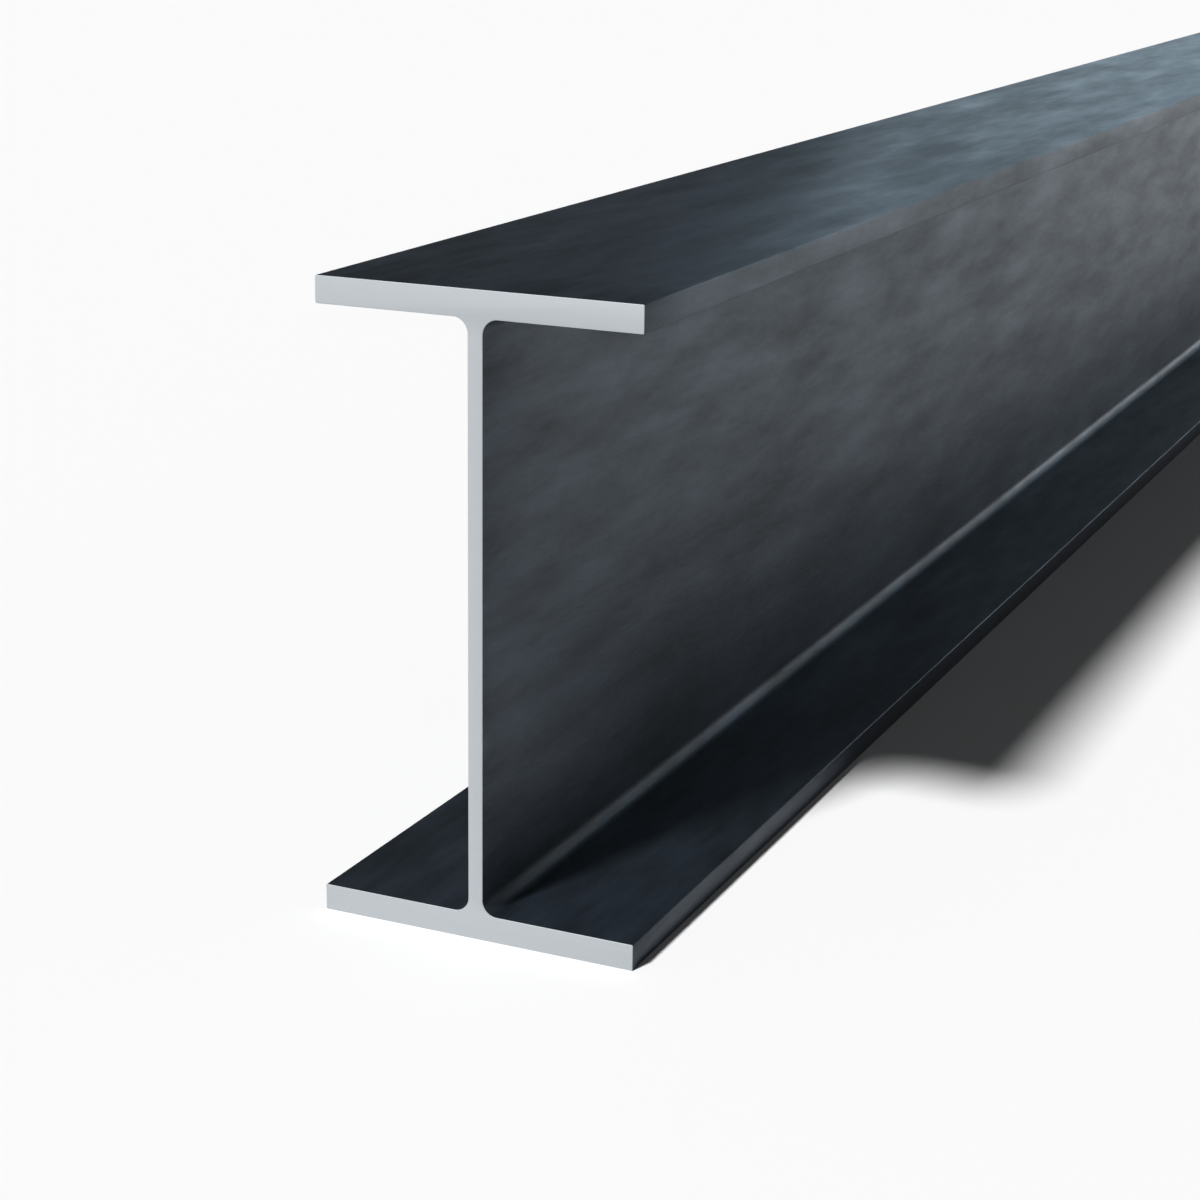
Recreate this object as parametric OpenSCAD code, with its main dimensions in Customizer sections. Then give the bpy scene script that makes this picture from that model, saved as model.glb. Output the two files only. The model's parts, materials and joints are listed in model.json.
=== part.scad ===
// Steel I-beam: one hot-rolled piece with parallel flanges, sawn square at both ends.
// Two flanges are joined by a web. A fillet fills each of the four inner corners,
// and the long edges of the flanges, the toes, are slightly eased.
// The beam stands on its lower flange, with its length along Y and +Z up.
// The origin is under the middle of the beam, on the bottom face.

/* [Section] */
// Depth of the beam, from the bottom face to the top face
depth = 317.5; // [200:0.5:620]
// Width of each flange
flange_width = 166.6; // [90:0.2:320]
// Thickness of each flange
flange_thickness = 13.2; // [6:0.1:40]
// Thickness of the web
web_thickness = 7.6; // [4:0.1:25]

/* [Edges] */
// Radius of the fillet between the web and each flange
root_radius = 7.6; // [3:0.1:30]
// Radius of the eased edges along the toes of the flanges
toe_radius = 0.6; // [0.2:0.1:2.8]

/* [Stock] */
// Length that the beam is sawn to
length = 3048; // [500:1:12200]

/* [Hidden] */
// Blue-grey of the mill scale on rolled steel
mill_scale = [0.20, 0.23, 0.26];
// Number of sides that stand for a full circle in a preview
arc_sides = 64;
// Middle of each toe's rounding, measured from the web's centre line
toe_centre = flange_width / 2 - toe_radius;
// Height at which the upper flange starts
upper_flange = depth - flange_thickness;

// One flange, lying on y = 0, with its four long edges eased
module flange_outline() {
    translate([-toe_centre, 0])
        square([2 * toe_centre, flange_thickness]);
    translate([-flange_width / 2, toe_radius])
        square([flange_width, flange_thickness - 2 * toe_radius]);
    for (x = [-toe_centre, toe_centre])
        for (y = [toe_radius, flange_thickness - toe_radius])
            translate([x, y])
                circle(r = toe_radius, $fn = arc_sides);
}

// The web, together with the foot of each fillet: it is as wide as both fillets
// where it meets a flange, and the round scoops on its sides leave the fillets
module web_outline() {
    half_foot = web_thickness / 2 + root_radius;
    difference() {
        translate([-half_foot, flange_thickness / 2])
            square([2 * half_foot, depth - flange_thickness]);
        for (side = [-1, 1]) {
            scoop_low = flange_thickness + root_radius;
            scoop_high = upper_flange - root_radius;
            translate([side * half_foot - root_radius, scoop_low])
                square([2 * root_radius, scoop_high - scoop_low]);
            for (y = [scoop_low, scoop_high])
                translate([side * half_foot, y])
                    circle(r = root_radius, $fn = arc_sides);
        }
    }
}

// The whole section, as it leaves the rolls
module section_outline() {
    flange_outline();
    translate([0, upper_flange])
        flange_outline();
    web_outline();
}

module i_beam() {
    color(mill_scale)
        rotate([90, 0, 0])
            linear_extrude(height = length, center = true)
                section_outline();
}

i_beam();
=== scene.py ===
# %% [markdown]
# # A rolled steel I-beam on a studio floor
#
# The beam is one piece of hot-rolled steel: two flanges, a web between them, and a small fillet
# in each inner corner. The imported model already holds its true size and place, so this lesson
# only gives it its finished surface: crisp rolled edges, dark mill scale and pale sawn ends.
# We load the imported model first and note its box, because nothing here may change that size.
# All sizes are in metres.

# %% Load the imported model
import json
import math

import bmesh
import bpy
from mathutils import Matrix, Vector


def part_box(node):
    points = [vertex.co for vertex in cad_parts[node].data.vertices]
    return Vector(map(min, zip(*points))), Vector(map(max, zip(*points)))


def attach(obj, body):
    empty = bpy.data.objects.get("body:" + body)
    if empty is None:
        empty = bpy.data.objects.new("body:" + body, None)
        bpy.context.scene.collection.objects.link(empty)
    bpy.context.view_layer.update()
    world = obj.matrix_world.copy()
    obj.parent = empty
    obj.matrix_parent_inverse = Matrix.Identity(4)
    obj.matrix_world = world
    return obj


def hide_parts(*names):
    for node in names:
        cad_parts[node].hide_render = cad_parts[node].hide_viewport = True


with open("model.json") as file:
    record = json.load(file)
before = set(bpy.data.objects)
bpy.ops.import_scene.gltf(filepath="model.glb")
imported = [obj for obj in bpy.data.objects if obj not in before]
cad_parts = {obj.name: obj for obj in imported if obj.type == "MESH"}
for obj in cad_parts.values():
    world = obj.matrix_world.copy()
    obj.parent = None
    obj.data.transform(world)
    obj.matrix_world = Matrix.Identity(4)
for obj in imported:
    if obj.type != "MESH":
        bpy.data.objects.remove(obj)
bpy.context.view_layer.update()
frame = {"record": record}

# %% [markdown]
# ## The section's sizes
#
# A rolled section is known by a few sizes: its depth and width, the thickness of its flanges
# and web, and the radius in its corners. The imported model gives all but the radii: its box
# holds the depth, width and length, and the faces listed as mounts hold the two thicknesses.
# The two small radii, in the inner corners and along the toes, are named here.

# %% Read the section's sizes
low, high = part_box("i_beam")
width, length, depth = high - low
faces = {mount["name"]: Vector(mount["pos_m"]) for mount in frame["record"]["mounts"]}
flange = faces["lower_ledge_right"].z - low.z
web = 2 * faces["web_face_right"].x
ROOT_RADIUS = 0.0076
TOE_RADIUS = 0.0006
print(f"depth {depth:.4f}, width {width:.4f}, flange {flange:.4f}, web {web:.4f}, length {length:.3f}")

# %% [markdown]
# ## The outline of the section
#
# One quarter of the outline is enough, because the section is the same left and right, top and
# bottom. A quarter runs up the web, round the fillet, out along the flange and round both edges
# of the toe. Round stretches are arcs from a formula, so they are as smooth as we ask for.
# The outline can also be drawn a little inside itself. That is how the worn edge of a
# saw cut is made later: the last ring of the beam is this same outline, drawn smaller.

# %% Draw the outline
FILLET_STEPS = 16
TOE_STEPS = 6


def arc(centre_x, centre_z, radius, start, stop, steps):
    """Points round a corner, from one angle to another in degrees, both ends included."""
    angles = [math.radians(start + (stop - start) * i / steps) for i in range(steps + 1)]
    return [(centre_x + radius * math.cos(a), centre_z + radius * math.sin(a)) for a in angles]


def section_outline(inset=0.0):
    """The closed outline as (x, z) points round the section's middle, drawn inside itself by inset."""
    half = depth / 2
    root = ROOT_RADIUS + inset
    toe = TOE_RADIUS - inset
    under = half - flange + inset
    foot = web / 2 - inset
    tip = width / 2 - TOE_RADIUS
    quarter = arc(foot + root, under - root, root, 180, 90, FILLET_STEPS)
    quarter += arc(tip, under + toe, toe, -90, 0, TOE_STEPS)
    quarter += arc(tip, half - TOE_RADIUS, toe, 0, 90, TOE_STEPS)
    left = [(-x, z) for x, z in reversed(quarter)]
    upper = quarter + left
    return upper + [(-x, -z) for x, z in upper]


print("points round the section", len(section_outline()))

# %% [markdown]
# ## Rings along the beam
#
# Rolling pulls one section along a straight line, so the mesh is built the same way: rings of
# the outline, joined by strips. Extruding a curve would do it too, but rings let us treat the
# ends by hand. A saw leaves a sharp edge, the arris, which handling soon dulls, and even a
# third of a millimetre of it catches the light. So each end steps in over a few rings round a
# small arc. Between the ends a ring stands about every 5 cm, so that no face runs the whole
# length.

# %% Place the rings
ARRIS = 0.0003
ARRIS_STEPS = 3
RING_GAP = 0.05


def ring_places():
    """Each ring's place along the beam with how far it is drawn in, from the front end to the back."""
    turns = [math.pi / 2 * i / ARRIS_STEPS for i in range(ARRIS_STEPS + 1)]
    front = [(ARRIS * (1 - math.cos(turn)), ARRIS * (1 - math.sin(turn))) for turn in turns]
    count = round(length / RING_GAP)
    middle = [(length * i / count, 0.0) for i in range(1, count)]
    back = [(length - place, inset) for place, inset in reversed(front)]
    return front + middle + back


print("rings along the beam", len(ring_places()))

# %% [markdown]
# ## The beam's surface
#
# On the real beam the rolls shape every long face and the saw leaves the two ends. So strips of
# four-sided faces join each ring to the next and carry the rolled finish, while a flat cap
# closes each end and carries the sawn one, together with the dulled arris round it. A longer
# bar cut down to length would give the same shape, but with a cut to clean up afterwards.
#
# All faces are shaded smooth, so that the steps of each rounding don't show. The price is that
# a flat face looks bent by a few degrees where it meets a rounding, though its points are flat.

# %% Build the beam
# Only faces that meet at more than this angle keep a crease between them
CREASE_ANGLE = math.radians(30)
ROLLED, SAWN = 0, 1


def build_beam(name):
    """The whole beam as one closed mesh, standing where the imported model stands."""
    work = bmesh.new()
    middle_x, middle_z = (low.x + high.x) / 2, (low.z + high.z) / 2
    rings = []
    for place, inset in ring_places():
        rings.append([work.verts.new((middle_x + x, low.y + place, middle_z + z))
                      for x, z in section_outline(inset)])
    last = len(rings) - 2
    for index, (ring, following) in enumerate(zip(rings, rings[1:])):
        at_end = index < ARRIS_STEPS or index > last - ARRIS_STEPS
        for side in range(len(ring)):
            other = (side + 1) % len(ring)
            face = work.faces.new((ring[side], following[side], following[other], ring[other]))
            face.material_index = SAWN if at_end else ROLLED
            face.smooth = True
    for ring in (rings[0], list(reversed(rings[-1]))):
        cap = work.faces.new(ring)
        cap.material_index = SAWN
    bmesh.ops.recalc_face_normals(work, faces=work.faces)
    mesh = bpy.data.meshes.new(name)
    work.to_mesh(mesh)
    work.free()
    mesh.set_sharp_from_angle(angle=CREASE_ANGLE)
    beam = bpy.data.objects.new(name, mesh)
    bpy.context.scene.collection.objects.link(beam)
    return beam


beam = build_beam("rolled_beam")
print("faces in the beam", len(beam.data.polygons))

# %% [markdown]
# ## Writing a finish as arithmetic
#
# A material is a net of small nodes, and long lists of links are hard to read. So one small
# class wraps a socket and lets us multiply and subtract it like a number: each sign becomes a
# Math node. Every other node comes from one method that takes its kind, its settings and what
# its sockets hold. The same writer serves the room's light later, since that is a net too.

# %% A way to write finishes


class Wire:
    """One socket of a net. Arithmetic with numbers and other wires adds Math nodes."""

    def __init__(self, net, socket):
        self.net = net
        self.socket = socket

    def maths(self, operation, first, second):
        return self.net.node("ShaderNodeMath", {"operation": operation}, {0: first, 1: second})

    def __sub__(self, other):
        return self.maths("SUBTRACT", self, other)

    def __rsub__(self, other):
        return self.maths("SUBTRACT", other, self)

    def __mul__(self, other):
        return self.maths("MULTIPLY", self, other)

    __rmul__ = __mul__


class Net:
    """The nodes of a material, or of the world, that are being made one by one."""

    def __init__(self, owner):
        owner.use_nodes = True
        self.tree = owner.node_tree
        self.tree.nodes.clear()

    def node(self, kind, settings=None, sockets=None, output=0):
        """Adds a node, sets it up, fills or links its sockets, and gives one of its outputs."""
        made = self.tree.nodes.new(kind)
        for setting, value in (settings or {}).items():
            setattr(made, setting, value)
        for key, value in (sockets or {}).items():
            socket = self.find(made.inputs, key)
            if isinstance(value, Wire):
                self.tree.links.new(value.socket, socket)
            else:
                socket.default_value = value
        return Wire(self, self.find(made.outputs, output)) if made.outputs else None

    @staticmethod
    def find(sockets, key):
        """A socket by its number, or by its name among those that the node's settings leave in use."""
        if isinstance(key, int):
            return sockets[key]
        return next(socket for socket in sockets if socket.enabled and socket.name == key)


class Finish(Net):
    """A material that is being made."""

    def __init__(self, name):
        self.material = bpy.data.materials.new(name)
        super().__init__(self.material)

    def mix_colours(self, share, first, second):
        """A colour that goes from the first to the second as the share goes from 0 to 1."""
        return self.node("ShaderNodeMix", {"data_type": "RGBA"},
                         {"Factor": share, "A": first, "B": second}, "Result")

    def surface(self, sockets):
        """Ends the finish: a Principled shader with these sockets, joined to the material's output."""
        shader = self.node("ShaderNodeBsdfPrincipled", None, sockets)
        self.node("ShaderNodeOutputMaterial", None, {"Surface": shader})
        return self.material


print("finish writer ready")

# %% [markdown]
# ## Grain
#
# Both finishes of this beam are drawn out in one direction: the mill scale by the rolls, and
# the sawn ends by the teeth of the saw. A noise does for both, if the space that it fills is
# squeezed more along one axis than another. It is laid in the beam's own space, so it has no
# seams and needs no unwrapping. The same noise can also raise the surface a little, and a bump
# is enough for that, because so low a relief doesn't show in the beam's outline.

# %% Write the grain and the relief


def grain(finish, pitch, detail, breakup):
    """A noise whose clouds are about as far apart as the pitch along X, Y and Z."""
    place = finish.node("ShaderNodeTexCoord", None, None, "Object")
    squeeze = tuple(1 / step for step in pitch)
    drawn_out = finish.node("ShaderNodeVectorMath", {"operation": "MULTIPLY"}, {0: place, 1: squeeze})
    return finish.node("ShaderNodeTexNoise", None, {"Vector": drawn_out, "Scale": 1.0, "Detail": detail,
                                                    "Roughness": breakup}, "Fac")


def relief(finish, height, rise):
    """A normal that makes the surface look raised by this much where the height is 1."""
    return finish.node("ShaderNodeBump", None, {"Height": height, "Strength": 1.0, "Distance": rise},
                       "Normal")


print("grain and relief ready")

# %% [markdown]
# ## Mill scale
#
# Hot steel grows a thin, hard, blue-grey oxide as it cools: mill scale. It is dark and has a
# satin shine, and the rolls draw its soft clouds out along the beam, about five times as long
# as they are wide. They change three things together: the colour, from near black to a deep
# blue-grey, the roughness, so that the clouds also show in the shine, and the height of the
# surface, by a fraction of a millimetre, so that long reflections waver a little. Oxide is
# neither bare metal nor paint. It stays dark when seen square on and mirrors the room when seen
# along its face, so it is made as a dark, partly metallic surface whose edge tint is close to
# white.

# %% Make the mill scale
CLOUD_WIDTH = 0.030
CLOUD_LENGTH = 0.150
SCALE_DARK = (0.006, 0.009, 0.012, 1)
SCALE_LIGHT = (0.034, 0.044, 0.061, 1)
SCALE_EDGE_TINT = (0.84, 0.91, 0.97, 1)
SCALE_METALLIC = 0.6
# Roughness between the clouds, and how much smoother a full cloud is
SCALE_DULLEST, SCALE_POLISH = 0.50, 0.11
CLOUD_DETAIL, CLOUD_BREAKUP = 6.0, 0.66
# Heights of the noise at which a cloud starts, and at which it is full
CLOUD_START, CLOUD_FULL = 0.33, 0.67
WAVINESS = 0.0006


def mill_scale():
    """Dark oxide, with clouds that are drawn out along the beam."""
    finish = Finish("mill_scale")
    clouds = grain(finish, (CLOUD_WIDTH, CLOUD_LENGTH, CLOUD_WIDTH), CLOUD_DETAIL, CLOUD_BREAKUP)
    spread = finish.node("ShaderNodeMapRange", None,
                         {"Value": clouds, "From Min": CLOUD_START, "From Max": CLOUD_FULL})
    return finish.surface({"Base Color": finish.mix_colours(spread, SCALE_DARK, SCALE_LIGHT),
                           "Metallic": SCALE_METALLIC, "Roughness": SCALE_DULLEST - SCALE_POLISH * spread,
                           "Specular Tint": SCALE_EDGE_TINT, "Normal": relief(finish, clouds, WAVINESS)})


beam.data.materials.append(mill_scale())
print("rolled faces", sum(face.material_index == ROLLED for face in beam.data.polygons))

# %% [markdown]
# ## Sawn steel
#
# A cold saw leaves bare metal: pale, even and matt, with fine lines across it where the teeth
# passed. A noise drawn out level and packed close in height gives such lines. They are
# kept faint, since a sharp blade leaves a face that looks even from a step away: about a
# hundredth in the colour, a little more in the roughness, and a few thousandths of a
# millimetre in height.

# %% Make the sawn steel
SAWN_DARK = (0.326, 0.349, 0.368, 1)
SAWN_LIGHT = (0.334, 0.357, 0.376, 1)
MARK_LENGTH = 0.060
MARK_PITCH = 0.0012
MARK_HEIGHT = 0.000003
MARK_DETAIL, MARK_BREAKUP = 3.0, 0.5
SAWN_METALLIC = 0.3
# Roughness between the marks, and how much smoother a full mark is
SAWN_DULLEST, SAWN_POLISH = 0.65, 0.10


def sawn_steel():
    """Bare, matt metal, with faint level lines."""
    finish = Finish("sawn_steel")
    marks = grain(finish, (MARK_LENGTH, MARK_LENGTH, MARK_PITCH), MARK_DETAIL, MARK_BREAKUP)
    return finish.surface({"Base Color": finish.mix_colours(marks, SAWN_DARK, SAWN_LIGHT),
                           "Metallic": SAWN_METALLIC, "Roughness": SAWN_DULLEST - SAWN_POLISH * marks,
                           "Normal": relief(finish, marks, MARK_HEIGHT)})


beam.data.materials.append(sawn_steel())
print("sawn faces", sum(face.material_index == SAWN for face in beam.data.polygons))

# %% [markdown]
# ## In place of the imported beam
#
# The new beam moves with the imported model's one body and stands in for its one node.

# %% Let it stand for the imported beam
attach(beam, "root")
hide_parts("i_beam")
print(beam.name, "rides on root and stands for i_beam")

# %% [markdown]
# ## The floor
#
# A plain pale floor, far wider than the view, so that its edge never shows. It is quite matt, so
# that it takes the beam's shadow but mirrors nothing.

# %% Lay the floor
FLOOR_SIZE = 400.0
FLOOR_COLOUR = (0.8, 0.8, 0.8, 1)


def lay_floor():
    """One large square under the beam, at its foot."""
    half = FLOOR_SIZE / 2
    mesh = bpy.data.meshes.new("studio_floor")
    corners = [(-half, -half, 0), (half, -half, 0), (half, half, 0), (-half, half, 0)]
    mesh.from_pydata(corners, [], [(0, 1, 2, 3)])
    finish = Finish("studio_floor")
    mesh.materials.append(finish.surface({"Base Color": FLOOR_COLOUR, "Roughness": 1.0,
                                          "Specular IOR Level": 0.0}))
    floor = bpy.data.objects.new("studio_floor", mesh)
    floor.location.z = low.z
    bpy.context.scene.collection.objects.link(floor)
    return floor


print("floor at height", round(lay_floor().location.z, 4))

# %% [markdown]
# ## The key light
#
# One strong light from the front left gives the floor its white and the beam its shadow. It is
# a sun, because parallel rays draw a shadow whose edges run along the beam. A spread of a few
# degrees softens those edges, the more so the farther from the beam they fall.

# %% Add the key light
KEY_TRAVEL = Vector((0.32, 1.02, -1.0))
KEY_STRENGTH = 5.22
KEY_SPREAD = math.radians(7)


def add_light(name, kind, energy, aim, **settings):
    """A light that shines along aim. The camera doesn't see it."""
    data = bpy.data.lights.new(name, kind)
    data.energy = energy
    for setting, value in settings.items():
        setattr(data, setting, value)
    light = bpy.data.objects.new(name, data)
    light.rotation_euler = aim.to_track_quat("-Z", "Y").to_euler()
    light.visible_camera = False
    bpy.context.scene.collection.objects.link(light)
    return light


add_light("key", "SUN", KEY_STRENGTH, KEY_TRAVEL, angle=KEY_SPREAD)
print("key light is", round(math.degrees(KEY_TRAVEL.angle(Vector((0, 0, -1))))), "degrees off overhead")

# %% [markdown]
# ## Glows for the shine
#
# Steel is dark until it has something bright to mirror, so softboxes stand in a ring round the
# beam. They could light everything, but then the shadow would fade, so only the steel's shine
# can see them. A low one beyond the far end lights the web, one above it draws the line along
# the fillet, two cool ones farther left and higher up light the top, and one on each side
# serves the views from there.

# %% Place the glows
GLOW_DISTANCE = 9.0
WHITE = (1.0, 1.0, 1.0)
COOL = (0.70, 0.89, 1.0)
near_end = Vector((0.0, low.y, high.z))


def add_glow(name, radiance, azimuth, elevation, colour):
    """A softbox that only the steel's shine can see: it lights neither the floor nor the room.

    Azimuth and elevation are the pairs of angles between which the beam's near end sees it.
    Azimuth 0 lies along the beam, and grows towards the right.
    """
    left, right = (math.radians(angle) for angle in azimuth)
    lower, upper = (GLOW_DISTANCE * math.tan(math.radians(angle)) for angle in elevation)
    turn = (left + right) / 2
    size = 2 * GLOW_DISTANCE * math.tan((right - left) / 2)
    away = Vector((math.sin(turn), math.cos(turn), 0.0))
    glow = add_light(name, "AREA", radiance * math.pi * size * (upper - lower), -away,
                     shape="RECTANGLE", size=size, size_y=upper - lower, color=colour)
    glow.location = near_end + away * GLOW_DISTANCE + Vector((0, 0, (lower + upper) / 2))
    glow.visible_diffuse = False
    print(name, "is", round(size, 1), "m wide and", round(upper - lower, 1), "m high")


add_glow("low_glow", 3.3, (3, 30), (-1.5, 5), WHITE)
add_glow("side_glow", 0.9, (14, 32), (8, 24), WHITE)
add_glow("back_glow", 1.5, (-18, 2), (0, 15), COOL)
add_glow("high_glow", 1.8, (-10, 20), (15, 35), COOL)
add_glow("right_glow", 1.6, (65, 115), (3, 35), WHITE)
add_glow("left_glow", 1.6, (235, 295), (3, 35), WHITE)

# %% [markdown]
# ## The room
#
# A studio's white walls would fill the shadow with light. So the room stays dim for every ray
# but the camera's own, which sees it as white: a Light Path node tells the two apart.

# %% Light the room
ROOM_LIGHT = 0.066


def light_room():
    """A dim white room, which the camera alone sees at full white."""
    world = bpy.data.worlds.new("room")
    net = Net(world)
    seen = net.node("ShaderNodeLightPath", None, None, "Is Camera Ray")
    dim = net.node("ShaderNodeBackground", None, {"Color": (1, 1, 1, 1), "Strength": ROOM_LIGHT})
    white = net.node("ShaderNodeBackground", None, {"Color": (1, 1, 1, 1), "Strength": 1.0})
    mixed = net.node("ShaderNodeMixShader", None, {0: seen, 1: dim, 2: white})
    net.node("ShaderNodeOutputWorld", None, {"Surface": mixed})
    bpy.context.scene.world = world


light_room()
print("room light", ROOM_LIGHT)

# %% [markdown]
# ## Camera
#
# The camera stands in front of the beam's near end, to the right of it and a little above. Its
# place is measured from the foot of that end, in depths of the beam, and it looks along the
# right side, so that the far end runs out of the picture.

# %% Place the camera
CAMERA_LENS = 75.545
CAMERA_SENSOR = 36.0
CAMERA_FROM_END = Vector((1.62694, -3.15328, 1.59633))
CAMERA_TURN = (73.4527, -0.7634, 24.5549)

camera = bpy.data.objects.new("camera", bpy.data.cameras.new("camera"))
camera.data.lens = CAMERA_LENS
camera.data.sensor_width = CAMERA_SENSOR
camera.location = Vector(((low.x + high.x) / 2, low.y, low.z)) + CAMERA_FROM_END * depth
camera.rotation_euler = [math.radians(angle) for angle in CAMERA_TURN]
bpy.context.scene.collection.objects.link(camera)
bpy.context.scene.camera = camera
bpy.context.scene.view_settings.view_transform = "Standard"
print("camera at", [round(v, 3) for v in camera.location])
